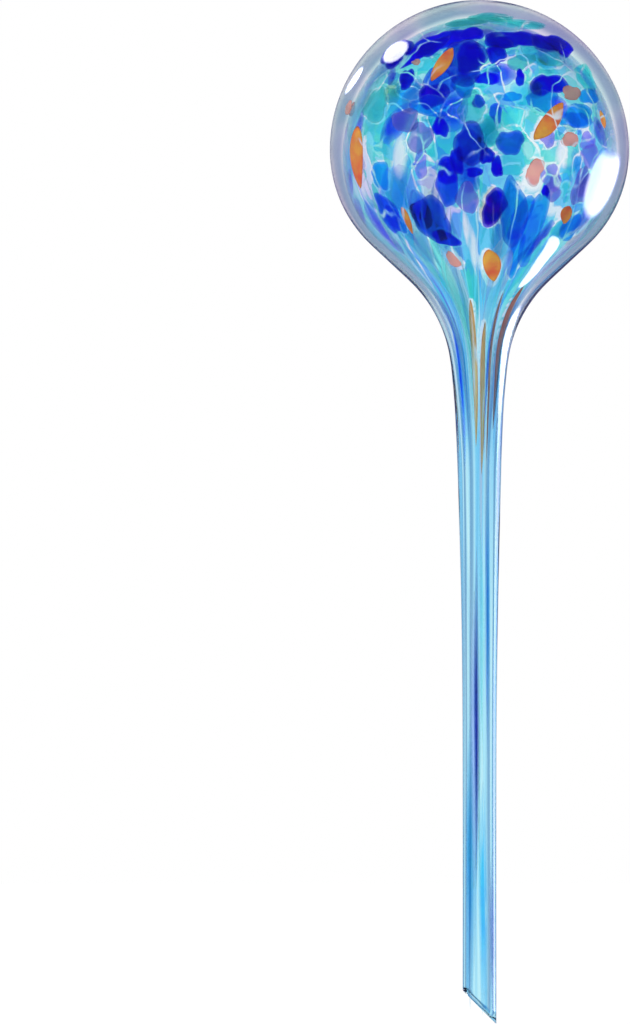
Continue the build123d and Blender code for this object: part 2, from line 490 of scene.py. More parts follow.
def seen_on_wall(column, row):
    """Finds the bearings and falls of the spots on the inner wall that the photo shows at these pixels."""
    across = (column - AXIS_COLUMN) * PIXEL
    height = (PHOTO_HEIGHT - row) * PIXEL
    fall = np.interp(-height, -OUTER_WALL.line[:, 1], OUTER_WALL.fall)
    radius, level = OUTER_WALL.at(fall)
    out_radius, out_height = OUTER_WALL.outward(fall)
    limb = 0.97
    side = np.clip(across / radius, -limb, limb)
    front = -np.sqrt(1 - side**2)
    normal = np.stack([out_radius * side, out_radius * front, out_height], axis=1)
    start = np.stack([radius * side, radius * front, level], axis=1)
    # The line of sight bends as it enters the glass, and is then followed to the inner wall
    bend = 1 / GLASS_IOR
    facing = -normal[:, 1]
    onward = np.sqrt(1 - bend**2 * (1 - facing**2))
    way = bend * np.array([0, 1, 0]) + (bend * facing - onward)[:, None] * normal
    travel = np.zeros(len(start))
    steps = 5
    for step in range(steps):
        points = start + way * travel[:, None]
        spots = INNER_WALL.fall_of(points)
        wall_radius, wall_height = INNER_WALL.at(spots)
        out_radius, out_height = INNER_WALL.outward(spots)
        travel += (np.hypot(points[:, 0], points[:, 1]) - wall_radius) * out_radius
        travel += (points[:, 2] - wall_height) * out_height
    return bearing_of(points), spots


def seen_spot(column, row):
    """Finds the bearing and fall of one spot on the inner wall."""
    return seen_on_wall(np.array([column], float), np.array([row], float))


# Meshes


def add_attribute(mesh, title, values):
    """Stores a number or a place for each point of a mesh."""
    is_number = values.ndim == 1
    layer = mesh.attributes.new(title, "FLOAT" if is_number else "FLOAT_VECTOR", "POINT")
    layer.data.foreach_set("value" if is_number else "vector", values.astype(np.float32).ravel())


def make_object(name, vertices, faces, materials, attributes=None):
    """Makes a smooth mesh object from arrays, with its normals outwards."""
    mesh = bpy.data.meshes.new(name)
    mesh.from_pydata(vertices.tolist(), [], faces)
    for material in materials:
        mesh.materials.append(material)
    for title, values in (attributes or {}).items():
        add_attribute(mesh, title, values)
    piece = bpy.data.objects.new(name, mesh)
    bpy.context.scene.collection.objects.link(piece)
    tidy_mesh(mesh)
    return piece


def tidy_mesh(mesh):
    """Turns all faces outwards and shades them smooth."""
    work = bmesh.new()
    work.from_mesh(mesh)
    bmesh.ops.recalc_face_normals(work, faces=work.faces)
    work.to_mesh(mesh)
    work.free()
    mesh.shade_smooth()


def fit_piece(piece, slot, *nodes):
    """Fixes a piece to the globe's body and lets it stand for its CAD nodes; the slot of its finish is not
    used.
    """
    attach(piece, "root")
    if nodes:
        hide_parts(*nodes)


def grow(name, mesh, tree, values):
    """Runs a node tree on a mesh and keeps the result as a plain mesh object."""
    piece = bpy.data.objects.new(name, mesh)
    bpy.context.scene.collection.objects.link(piece)
    modifier = piece.modifiers.new(tree.name, "NODES")
    modifier.node_group = tree
    for socket in tree.interface.items_tree:
        if socket.in_out == "INPUT" and socket.name in values:
            modifier[socket.identifier] = values[socket.name]
    depsgraph = bpy.context.evaluated_depsgraph_get()
    grown = bpy.data.meshes.new_from_object(
        piece.evaluated_get(depsgraph), preserve_all_data_layers=True, depsgraph=depsgraph
    )
    piece.modifiers.clear()
    piece.data = grown
    grown.name = name
    return piece


def read_points(mesh):
    """Gives a mesh's vertices as an array."""
    points = np.empty(len(mesh.vertices) * 3, np.float32)
    mesh.vertices.foreach_get("co", points)
    return points.reshape(-1, 3).astype(float)


def read_values(mesh, title):
    """Gives a mesh's attribute of single numbers as an array."""
    values = np.empty(len(mesh.vertices), np.float32)
    mesh.attributes[title].data.foreach_get("value", values)
    return values.astype(float)


def write_points(mesh, points):
    """Moves a mesh's vertices to the places in an array."""
    mesh.vertices.foreach_set("co", points.astype(np.float32).ravel())
    mesh.update()


# Materials


def new_material(name, values):
    """Makes a node material, sets its Principled shader's values, and gives it with its tree and shader."""
    material = bpy.data.materials.new(name)
    material.use_nodes = True
    tree = material.node_tree
    shader = tree.nodes["Principled BSDF"]
    for title, value in values.items():
        shader.inputs[title].default_value = value
    return material, tree, shader


def set_stops(ramp, shades):
    """Gives a colour ramp its shades by their places."""
    for number, (place, shade) in enumerate(shades.items()):
        stop = ramp.color_ramp.elements[number] if number < 2 else ramp.color_ramp.elements.new(place)
        stop.position = place
        stop.color = opaque(shade)


def clear_glass():
    """Soda-lime glass, blown and fire-polished: clear on the bulb, and streaked where it is drawn out.

    The bulb has a faint haze of violet and green, and the stem the colours of the frit that ran into it.
    """
    glass = bpy.context.scene.globe_glass
    material, tree, shader = new_material("clear soda-lime glass", CASING_SHINE)
    flow = add_node(tree, "ShaderNodeAttribute", attribute_name="flow").outputs["Vector"]
    drawn = add_node(tree, "ShaderNodeAttribute", attribute_name="drawn").outputs["Fac"]
    streaks = add_node(tree, "ShaderNodeTexNoise", {"Vector": flow, "Scale": 1 / STREAK_SIZE, "Detail": 1.2})
    streak_ramp = add_node(tree, "ShaderNodeValToRGB", [streaks])
    shades = {
        0.27: glass.mauve_streak,
        0.34: glass.azure_streak,
        0.40: glass.sky_streak,
        0.46: glass.pale_streak,
        0.52: glass.sky_streak,
        0.57: glass.pale_streak,
        0.64: glass.sky_streak,
        0.72: glass.azure_streak,
    }
    set_stops(streak_ramp, shades)
    haze = add_node(tree, "ShaderNodeTexNoise", {"Vector": flow, "Scale": 1 / HAZE_SIZE, "Detail": 1.0})
    haze_ramp = add_node(tree, "ShaderNodeValToRGB", [haze])
    set_stops(haze_ramp, {0.38: glass.violet_haze, 0.5: glass.clear, 0.62: glass.green_haze})
    tint = add_node(tree, "ShaderNodeMixRGB", [drawn, haze_ramp, streak_ramp])
    tree.links.new(tint.outputs["Color"], shader.inputs["Base Color"])
    return material


def bent_flow(tree, flow):
    """Adds a slow warp, so that the cells of colour wander as melted glass does."""
    warp = add_node(tree, "ShaderNodeTexNoise", {"Vector": flow, "Scale": 1 / WANDER_SIZE, "Detail": 3.0})
    return add_node(tree, "ShaderNodeMixRGB", [0.5, flow, warp.outputs["Color"]], blend_type="ADD")


def vein_mask(tree, flow):
    """Adds fine wandering veins, where the colours have drawn apart, and gives how clear each place is."""
    cells = {"Vector": bent_flow(tree, flow), "Scale": 1 / CELL_SIZE}
    edges = add_node(tree, "ShaderNodeTexVoronoi", cells, feature="DISTANCE_TO_EDGE")
    line = add_node(tree, "ShaderNodeMapRange", [edges, 0.006, 0.04, 1.0, 0.0], **SMOOTH)
    breaks = add_node(tree, "ShaderNodeTexNoise", {"Vector": flow, "Scale": 1 / BREAK_SIZE, "Detail": 1.0})
    kept = add_node(tree, "ShaderNodeMapRange", [breaks, 0.42, 0.56, 0.0, 0.95], **SMOOTH)
    return add_node(tree, "ShaderNodeMath", [line, kept], operation="MULTIPLY")


def colour_cells(tree, flow, size):
    """Adds wandering cells, and gives a number that is the same all over each one."""
    cells = {"Vector": bent_flow(tree, flow), "Scale": 1 / size}
    return add_node(tree, "ShaderNodeTexVoronoi", cells, feature="F1").outputs["Color"]


def lined_glass():
    """The casing's inner face, where fine frit has melted to a film: cells of colour and clear veins."""
    glass = bpy.context.scene.globe_glass
    # The film takes the mirror shine off this face, and only its edges still turn light back
    shine = {**CASING_SHINE, "Specular Tint": BLACK}
    material, tree, shader = new_material("frit-lined soda-lime glass", shine)
    flow = add_node(tree, "ShaderNodeAttribute", attribute_name="flow").outputs["Vector"]
    drawn = add_node(tree, "ShaderNodeAttribute", attribute_name="drawn").outputs["Fac"]
    pale = add_node(tree, "ShaderNodeAttribute", attribute_name="pale").outputs["Fac"]
    small = colour_cells(tree, flow, SMALL_CELL_SIZE)
    large = colour_cells(tree, flow, CELL_SIZE)
    share = add_node(tree, "ShaderNodeMath", [small, SMALL_CELL_SHARE], operation="MULTIPLY")
    mixed = add_node(tree, "ShaderNodeMath", [large, 1 - SMALL_CELL_SHARE, share], operation="MULTIPLY_ADD")
    ramp = add_node(tree, "ShaderNodeValToRGB", [mixed])
    shades = {
        0.20: glass.azure_film,
        0.34: glass.sky_film,
        0.42: glass.film,
        0.54: glass.teal,
        0.62: glass.aqua,
        0.72: glass.pale_streak,
        0.82: glass.mist,
    }
    set_stops(ramp, shades)
    patchy = add_node(tree, "ShaderNodeMath", [small, 0.5, pale], operation="MULTIPLY_ADD")
    bared = add_node(tree, "ShaderNodeMapRange", [patchy, 0.5, 1.0, 0.0, 0.9])
    paled = add_node(tree, "ShaderNodeMixRGB", [bared, ramp, opaque(glass.bare)])
    veined = add_node(tree, "ShaderNodeMixRGB", [vein_mask(tree, flow), paled, WHITE])
    tint = add_node(tree, "ShaderNodeMixRGB", [drawn, veined, opaque(glass.clear)])
    tree.links.new(tint.outputs["Color"], shader.inputs["Base Color"])
    return material


def frit_glass(name, colour, clearness, rim_start=0.8, rim_share=0.25):
    """Coloured glass frit, melted into the wall: its hue drifts, and it pales where it thins at its rim.

    Warm frit is denser, so its rim goes deeper instead, unless it has melted out thin.
    """
    title = f"{name} frit glass"
    if title in bpy.data.materials:
        return bpy.data.materials[title]
    # The chip is melted into the casing, so light doesn't bend again on its way into it
    shine = {"Roughness": 0.0, "IOR": 1.0, "Transmission Weight": clearness}
    material, tree, shader = new_material(title, shine)
    is_dense = name.split()[-1] in WARM_COLOURS and not name.startswith("thin")
    swing = 0.032 if name == "amber" else 0.01
    rim_colour = tuple(part**2 for part in colour) if is_dense else (1.0, 1.0, 1.0)
    drift_size = 5 * MM
    spot = add_node(tree, "ShaderNodeTexCoord").outputs["Object"]
    tone = add_node(tree, "ShaderNodeAttribute", attribute_name="tone").outputs["Fac"]
    rim = add_node(tree, "ShaderNodeAttribute", attribute_name="rim").outputs["Fac"]
    flow = add_node(tree, "ShaderNodeAttribute", attribute_name="flow").outputs["Vector"]
    drift = add_node(tree, "ShaderNodeTexNoise", {"Vector": spot, "Scale": 1 / drift_size, "Detail": 3.0})
    toned = add_node(tree, "ShaderNodeMath", [drift, 0.5, tone], operation="MULTIPLY_ADD")
    value = add_node(tree, "ShaderNodeMapRange", [toned, 0.0, 1.5, 0.75, 1.35])
    hue = add_node(tree, "ShaderNodeMapRange", [drift, 0.35, 0.65, 0.5 - swing, 0.5 + swing])
    body = add_node(tree, "ShaderNodeHueSaturation", {"Color": opaque(colour), "Hue": hue, "Value": value})
    paling = add_node(tree, "ShaderNodeMapRange", [rim, rim_start, 1.0, 0.0, rim_share])
    rimmed = add_node(tree, "ShaderNodeMixRGB", [paling, body, opaque(rim_colour)])
    tint = add_node(tree, "ShaderNodeMixRGB", [vein_mask(tree, flow), rimmed, WHITE])
    tree.links.new(tint.outputs["Color"], shader.inputs["Base Color"])
    return material


def frit_colours():
    """Gives each kind of frit: its colour and how clear it is."""
    glass = bpy.context.scene.globe_glass
    return {
        "cobalt": (glass.cobalt, 0.95),
        "royal": (glass.royal, 0.95),
        "azure": (glass.azure, 0.95),
        "turquoise": (glass.turquoise, 0.9),
        "lavender": (glass.lavender, 0.85),
        "amber": (glass.amber, 0.35),
        "coral": (glass.coral, 0.5),
        "rust": (glass.rust, 0.45),
    }


def frit_material(name):
    """Gives the material of a frit's chips."""
    return frit_glass(name, *frit_colours()[name])


def drawn_material(name, place):
    """Gives the material of a frit that is drawn out, so that more light passes, most of all on the stem."""
    colour, clearness = frit_colours()[name]
    strength = WARM_DRAWN_STRENGTH if name in WARM_COLOURS else DRAWN_STRENGTH[place]
    thin = tuple(part**strength for part in colour)
    if name == "cobalt" and place == "stem":
        thin = tuple(bpy.context.scene.globe_glass.cobalt_streak)
    return frit_glass(f"{place}-drawn {name}", thin, clearness, rim_start=0.3, rim_share=0.85)


def thin_material(name):
    """Gives the material of a frit that has melted out to a thin clear stain."""
    strength = WARM_THIN_STRENGTH if name in WARM_COLOURS else THIN_STRENGTH
    thin = tuple(part**strength for part in frit_colours()[name][0])
    return frit_glass(f"thin {name}", thin, clearness=0.92, rim_start=0.5, rim_share=0.6)


# Casing


def uneven(bearing, fall):
    """Gives the slow unevenness of hand-blown glass, from -1 to 1."""
    turns = fall / (40 * MM)
    waves = np.sin(2 * bearing + 1.3 * turns) + np.sin(3 * bearing - 2.1 * turns + 1.0)
    return (waves + np.sin(5 * bearing + 0.7 * turns + 2.0)) / 3


def points_of(kind, *colours):
    """Gives the vertices of all chips or streaks of some colours."""
    points = []
    for piece in bpy.data.objects:
        if piece.name.startswith(colours) and f"_{kind}_" in piece.name:
            points.append(read_points(piece.data))
    return np.concatenate(points)


def paleness(points):
    """Gives how pale the film is at points on the inner wall: in patches, near and far, and at the frit."""
    pale = np.zeros(len(points))
    bearings = bearing_of(points)
    falls = INNER_WALL.fall_of(points)
    radii = np.hypot(points[:, 0], points[:, 1])
    for column, row, across, along in PALE_PATCHES:
        bearing, fall = seen_spot(column, row)
        for side in (bearing, pi - bearing):
            turn = turn_between(bearings, side)
            away = np.hypot(turn * radii / (across * PIXEL), (falls - fall) / (along * PIXEL))
            pale = np.maximum(pale, np.clip(1.5 - away, 0, 1))
    mirror = np.array([1, -1, 1])
    warm_chips = points_of("chips", *WARM_COLOURS)
    warm_streaks = points_of("streaks", *WARM_COLOURS)
    halos = (
        (warm_chips, WARM_CHIP_HALO),
        (warm_chips[warm_chips[:, 1] < 0] * mirror, FACING_CHIP_HALO),
        (warm_streaks, WARM_STREAK_HALO),
        (warm_streaks * mirror, FACING_STREAK_HALO),
        (points_of("chips", *COOL_COLOURS), CHIP_HALO),
    )
    for places, reach in halos:
        tree = KDTree(len(places))
        for number, place in enumerate(INNER_WALL.press(places, 0)):
            tree.insert(place, number)
        tree.balance()
        away = np.array([tree.find(place)[2] for place in points])
        pale = np.maximum(pale, np.clip(2 * (1 - away / reach), 0, 1))
    return pale


class GLOBE_OT_casing(bpy.types.Operator):
    """Builds the clear casing: bulb, neck and stem in one, with a mitred tip and a melted lip"""

    bl_idname = "globe.casing"
    bl_label = "Clear casing"

    # Above this height the rings lie level, and below it they tip towards the mitre
    level_height = 16 * MM
    # The stem is true up to the first height, and the wall is at its most uneven above the second
    true_height = 60 * MM
    uneven_height = 160 * MM

    def execute(self, context):
        outer_rings = self.wall_rings(OUTER_WALL, OUTER_RING_STEP, context.scene.globe_sizes.unevenness)
        lip_rings = self.lip_rings()
        inner_rings = self.wall_rings(INNER_WALL, INNER_RING_STEP, 0)[::-1]
        rings = [*outer_rings, *lip_rings, *inner_rings]
        crowns = [np.array([[0, 0, wall.line[0, 1]]]) for wall in (OUTER_WALL, INNER_WALL)]
        vertices = np.concatenate([crowns[0], *[points for fall, points in rings], crowns[1]])
        ring_falls = np.repeat([fall for fall, points in rings], CASING_SEGMENTS)
        falls = np.concatenate([[0], ring_falls, [0]])
        bearings = np.concatenate([[0], np.tile(round_turns(CASING_SEGMENTS), len(rings)), [0]])
        inner_count = len(inner_rings) * CASING_SEGMENTS + 1
        pale = np.zeros(len(vertices))
        pale[-inner_count:] = paleness(vertices[-inner_count:])
        attributes = {
            "flow": flow_of(bearings, falls),
            "drawn": np.clip((falls - NECK_FALL) / FILM_FADE, 0, 1),
            "pale": pale,
        }
        faces, inner_start = self.faces(len(rings), len(outer_rings) + len(lip_rings))
        materials = [clear_glass(), lined_glass()]
        piece = make_object("casing_glass", vertices, faces, materials, attributes)
        indices = np.zeros(len(piece.data.polygons), np.int32)
        indices[inner_start:] = 1
        piece.data.polygons.foreach_set("material_index", indices)
        fit_piece(piece, "clear_glass", "clear_casing")
        return {"FINISHED"}

    def wall_rings(self, wall, step, swell):
        """Makes rings down a wall with their falls, close on the bulb and neck and wider on the stem."""
        lip = bpy.context.scene.globe_sizes.lip_radius
        turns = round_turns(CASING_SEGMENTS)
        fine_fall = NECK_FALL + FINE_LENGTH
        coarse_falls = np.linspace(fine_fall, wall.fall[-1], STEM_RINGS)
        rings = []
        for fall in np.concatenate([np.arange(step, fine_fall, step), coarse_falls]):
            radius, height = wall.at(fall)
            share = (height - self.true_height) / (self.uneven_height - self.true_height)
            bulge = swell * min(1, max(0, share)) * uneven(turns, fall)
            if height < self.level_height:
                height = max(height, lip)
            rings.append((fall, self.ring(radius + bulge, height)))
        return rings

    def lip_rings(self):
        """Makes the rings of the tip's two melted edges, with their falls."""
        lip = bpy.context.scene.globe_sizes.lip_radius
        corner = np.linspace(0, pi / 2, 5)
        outer_radii = STEM_RADIUS - lip + lip * np.cos(corner)
        inner_radii = INNER_WALL.line[-1, 0] + lip - lip * np.sin(corner)
        radii = np.concatenate([outer_radii, inner_radii])
        heights = np.concatenate([lip - lip * np.sin(corner), lip - lip * np.cos(corner)])
        return [(STEM_FALL, self.ring(radius, height)) for radius, height in zip(radii, heights)]

    def ring(self, radius, height):
        """Makes one ring of points, tipped to the mitre where it is close to the stem's tip."""
        turns = round_turns(CASING_SEGMENTS)
        mitre = bpy.context.scene.globe_sizes.mitre_angle
        across = radius * np.sin(turns)
        cut = (STEM_RADIUS - across) * tan(mitre)
        tipped = cut + height * (self.level_height - cut) / self.level_height
        level = np.where(height < self.level_height, tipped, height)
        return np.stack([across, -radius * np.cos(turns), level], axis=1)

    def faces(self, rings, inner_ring):
        """Joins the crown, the rings in turn and the inner crown, and says where the inner faces start."""
        count = CASING_SEGMENTS
        last = 1 + rings * count
        faces = [(0, 1 + turn, 1 + (turn + 1) % count) for turn in range(count)]
        for ring in range(rings - 1):
            if ring == inner_ring:
                inner_start = len(faces)
            upper = 1 + ring * count
            for turn in range(count):
                after = (turn + 1) % count
                faces.append((upper + turn, upper + count + turn, upper + count + after, upper + after))
        upper = 1 + (rings - 1) * count
        faces += [(upper + turn, last, upper + (turn + 1) % count) for turn in range(count)]
        return faces, inner_start


# Chips


def solids_of(node):
    """Gives the vertices of each separate solid of a CAD node."""
    work = bmesh.new()
    work.from_mesh(frame["nodes"][node].data)
    bmesh.ops.remove_doubles(work, verts=work.verts, dist=0.001 * MM)
    left = set(work.verts)
    solids = []
    for vertex in list(work.verts):
        if vertex not in left:
            continue
        left.remove(vertex)
        group = [vertex]
        for member in group:
            for edge in member.link_edges:
                other = edge.other_vert(member)
                if other in left:
                    left.remove(other)
                    group.append(other)
        solids.append(np.array([member.co for member in group], float))
    work.free()
    return solids


def outline_of(spread):
    """Gives how far a flat patch of points reaches from its middle, all the way round."""
    looks = round_turns(360)
    support = (spread @ np.stack([np.cos(looks), np.sin(looks)])).max(axis=0)
    facing = np.cos(looks[None, :] - round_turns(OUTLINE_POINTS)[:, None])
    least_facing = 0.05
    reach = support[None, :] / np.maximum(facing, least_facing)
    return np.where(facing > least_facing, reach, np.inf).min(axis=1)


def melted(reach, dice):
    """Rounds an outline off and makes it wander, as a chip does when it melts, and gives its points."""
    turns = round_turns(OUTLINE_POINTS)
    soft = sum(np.roll(reach, step) for step in range(-2, 3)) / 5
    wander = np.ones_like(turns)
    for waves, swing in ((2, 0.08), (3, 0.09), (4, 0.05), (6, 0.035), (9, 0.02)):
        wander += swing * np.sin(waves * turns + dice.uniform(0, 2 * pi))
    swell = 1.05
    return np.stack([np.cos(turns), np.sin(turns)], axis=1) * (soft * swell * wander)[:, None]


def sliver(half_wide, half_long, dice):
    """Gives the outline of a sliver with pointed ends, upright and hardly melted."""
    turns = round_turns(OUTLINE_POINTS)
    wander = 1 + 0.06 * np.sin(3 * turns + dice.uniform(0, 2 * pi))
    aside = half_wide * np.cos(turns) * np.abs(np.cos(turns)) ** 0.4
    return np.stack([aside * wander, half_long * np.sin(turns) * wander], axis=1)


def pebble(outline, place, gap, depth):
    """Makes a closed pebble with a thin rim on an outline; place turns flat points and depths into space."""
    shares = np.array([1, 0.92, 0.75, 0.48, 0.2, 0])
    count = len(outline)
    flat = [outline * share for share in shares[:-1]] + [np.zeros((1, 2))]
    points, rims = [], []
    for side in (-1, 1):
        for ring, share in zip(flat, shares):
            if side == 1 and share == 1:
                continue
            deep = gap + depth / 2 + side * (1 - share**3) * depth / 2
            points.append(place(ring, np.full(len(ring), deep)))
            rims.append(np.full(len(ring), share))
    faces = []
    steps = len(shares) - 2
    wall_middle = (steps + 1) * count
    near_start = wall_middle + 1
    for turn in range(count):
        after = (turn + 1) % count
        for step in range(steps):
            outer, inner = step * count, (step + 1) * count
            faces.append((outer + turn, outer + after, inner + after, inner + turn))
        faces.append((steps * count + turn, steps * count + after, wall_middle))
        for step in range(steps):
            outer = near_start + (step - 1) * count if step else 0
            inner = near_start + step * count
            faces.append((outer + after, outer + turn, inner + turn, inner + after))
        inner = near_start + (steps - 1) * count
        faces.append((inner + after, inner + turn, near_start + steps * count))
    return np.concatenate(points), faces, np.concatenate(rims)


def frit_piece(name, shapes, materials, slot, *nodes):
    """Joins a frit's shapes to one piece, with a tone for each shape, and fixes it to the globe."""
    points, faces, rims, tones = [], [], [], []
    start = 0
    for number, (shape_points, shape_faces, shape_rims) in enumerate(shapes):
        points.append(shape_points)
        faces += [tuple(start + corner for corner in face) for face in shape_faces]
        rims.append(shape_rims)
        tones.append(np.full(len(shape_points), number * GOLDEN_SHARE % 1))
        start += len(shape_points)
    points = np.concatenate(points)
    attributes = {"rim": np.concatenate(rims), "tone": np.concatenate(tones), "flow": wall_flow(points)}
    piece = make_object(name, points, faces, materials, attributes)
    fit_piece(piece, slot, *nodes)
    return piece


def melted_chip(solid, gap, dice, is_sliver):
    """Makes a melted chip in the place of a CAD chip."""
    middle = solid.mean(axis=0)
    bearing = bearing_of(middle[None, :])
    fall = INNER_WALL.fall_of(middle[None, :])
    east = np.array([np.cos(bearing[0]), np.sin(bearing[0]), 0])
    ahead = INNER_WALL.place(bearing, fall + 1 * MM)[0] - INNER_WALL.place(bearing, fall - 1 * MM)[0]
    south = ahead / np.linalg.norm(ahead)
    flat = (solid - middle) @ np.stack([east, south], axis=1)
    centre = (flat.max(axis=0) + flat.min(axis=0)) / 2
    if is_sliver:
        axes = np.linalg.eigh(np.cov((flat - centre).T))[1]
        half_wide, half_long = np.abs((flat - centre) @ axes).max(axis=0)
        drawn_out = bpy.context.scene.globe_sizes.sliver_stretch
        outline = sliver(half_wide, drawn_out * half_long, dice) @ axes.T
    else:
        outline = melted(outline_of(flat - centre), dice)

    def place(ring, deep):
        near = ring + centre
        return INNER_WALL.press(middle + near[:, :1] * east + near[:, 1:] * south, deep)

    return pebble(outline, place, gap, CHIP_DEPTH)


class GLOBE_OT_chips(bpy.types.Operator):
    """Melts the CAD chips of each colour into the bulb's inner wall"""

    bl_idname = "globe.chips"
    bl_label = "Frit chips"

    def execute(self, context):
        dice = np.random.default_rng(context.scene.globe_sizes.seed)
        for name in CHIP_COLOURS:
            node = f"{name}_chips"
            solids = solids_of(node)
            aside = np.array([abs(bearing_of(solid.mean(axis=0)[None, :])[0]) for solid in solids])
            near_gap = WARM_GAP if name in WARM_COLOURS else CHIP_GAP
            gaps = np.where(aside > LIMB_BEARING, FAR_CHIP_GAP, near_gap)
            shapes = [melted_chip(solid, gap, dice, name == "amber") for solid, gap in zip(solids, gaps)]
            materials = [frit_material(name), thin_material(name)]
            piece = frit_piece(f"{node}_glass", shapes, materials, f"{name}_glass", node)
            is_far = (aside > pi / 2).astype(np.int32)
            faces_each = len(piece.data.polygons) // len(shapes)
            piece.data.polygons.foreach_set("material_index", np.repeat(is_far, faces_each))
        return {"FINISHED"}


def small_chip(row, gap, dice, is_sliver):
    """Makes a small chip where the photo shows one."""
    column, line, width, tall, lean = row
    if is_sliver:
        ring = sliver(width / 2, tall / 2, dice)
    else:
        ring = melted(np.ones(OUTLINE_POINTS), dice) * (width / 2, tall / 2)
    turn = radians(lean)
    spin = np.array([[np.cos(turn), -np.sin(turn)], [np.sin(turn), np.cos(turn)]])

    def place(flat, deep):
        bearing, fall = seen_on_wall(column + flat[:, 0], line + flat[:, 1])
        return INNER_WALL.place(bearing, fall, deep)

    return pebble(ring @ spin.T, place, gap, SMALL_DEPTH)


class GLOBE_OT_small_chips(bpy.types.Operator):
    """Melts the smaller chips of each colour into the near side of the bulb"""

    bl_idname = "globe.small_chips"
    bl_label = "Small chips"

    def execute(self, context):
        dice = np.random.default_rng(context.scene.globe_sizes.seed)
        for name, rows in SMALL_CHIPS.items():
            gap = WARM_SMALL_GAP if name in WARM_COLOURS else SMALL_GAP
            shapes = [small_chip(row, gap, dice, name == "amber") for row in rows]
            slot = "cobalt_glass" if name == "royal" else f"{name}_glass"
            frit_piece(f"{name}_small_chips_glass", shapes, [frit_material(name)], slot)
        return {"FINISHED"}


# Streaks


def drawn_streak(middle, half_spread, top_fall, foot_fall):
    """Makes a drawn-out streak in the wall, with pointed ends."""
    turns = round_turns(OUTLINE_POINTS)
    half_length = (foot_fall - top_fall) / 2
    taper = np.abs(np.cos(turns)) ** 0.4
    aside = half_spread * (np.cos(turns) * taper + 0.15 * np.sin(3 * turns) * taper)
    outline = np.stack([aside, np.sin(turns) * half_length], axis=1)

    def place(ring, deep):
        return INNER_WALL.place(middle + ring[:, 0], top_fall + half_length + ring[:, 1], deep)

    return pebble(outline, place, STREAK_GAP, SMALL_DEPTH)


def neck_streak(solid, is_rust):
    """Makes a streak in the place of a CAD streak, melted wider unless it is rust."""
    sizes = bpy.context.scene.globe_sizes
    bearings = bearing_of(solid)
    middle = np.arctan2(np.sin(bearings).mean(), np.cos(bearings).mean())
    spread = 1.0 if is_rust else sizes.streak_spread
    half_spread = spread * np.ptp(turn_between(bearings, middle)) / 2
    falls = INNER_WALL.fall_of(solid)
    return drawn_streak(middle, half_spread, falls.min() - sizes.streak_tail, falls.max() + sizes.streak_tail)


def stem_streak(column, top_row, foot_row, width):
    """Makes a long streak where the photo shows one on the stem."""
    rows = np.array([top_row, (top_row + foot_row) / 2, foot_row], float)
    left, left_falls = seen_on_wall(np.full(3, column - width / 2), rows)
    right, right_falls = seen_on_wall(np.full(3, column + width / 2), rows)
    falls = (left_falls + right_falls) / 2
    return drawn_streak((left[1] + right[1]) / 2, (right[1] - left[1]) / 2, falls[0], falls[2])


class GLOBE_OT_streaks(bpy.types.Operator):
    """Draws the CAD streaks of each colour down the neck"""

    bl_idname = "globe.streaks"
    bl_label = "Neck streaks"

    def execute(self, context):
        for name in ("cobalt", "azure", "amber", "rust"):
            node = f"{name}_streaks"
            shapes = [neck_streak(solid, name == "rust") for solid in solids_of(node)]
            frit_piece(f"{node}_glass", shapes, [drawn_material(name, "neck")], f"{name}_glass", node)
        return {"FINISHED"}


class GLOBE_OT_stem_streaks(bpy.types.Operator):
    """Draws long streaks of each colour down the stem"""

    bl_idname = "globe.stem_streaks"
    bl_label = "Stem streaks"

    def execute(self, context):
        for name in ("cobalt", "azure", "turquoise", "lavender", "rust"):
            shapes = [stem_streak(*row[1:]) for row in STEM_STREAKS if row[0] == name]
            material = drawn_material(name, "neck" if name == "rust" else "stem")
            frit_piece(f"{name}_stem_streaks_glass", shapes, [material], f"{name}_glass")
        return {"FINISHED"}


# Specks and threads


def new_tree(title, inputs):
    """Starts a geometry node tree with named inputs, and gives it with its input and output nodes."""
    tree = bpy.data.node_groups.new(title, "GeometryNodeTree")
    tree.interface.new_socket("Geometry", in_out="OUTPUT", socket_type="NodeSocketGeometry")
    tree.interface.new_socket("Geometry", in_out="INPUT", socket_type="NodeSocketGeometry")
    for name, kind in inputs.items():
        tree.interface.new_socket(name, in_out="INPUT", socket_type=kind)
    return tree, add_node(tree, "NodeGroupInput").outputs, add_node(tree, "NodeGroupOutput").inputs


def end_tree(tree, geometry, given, result):
    """Ends a tree: its instances are made real and get the material."""
    real = add_node(tree, "GeometryNodeRealizeInstances", [geometry])
    dressed = add_node(tree, "GeometryNodeSetMaterial", {"Geometry": real, "Material": given["Material"]})
    tree.links.new(dressed.outputs["Geometry"], result["Geometry"])


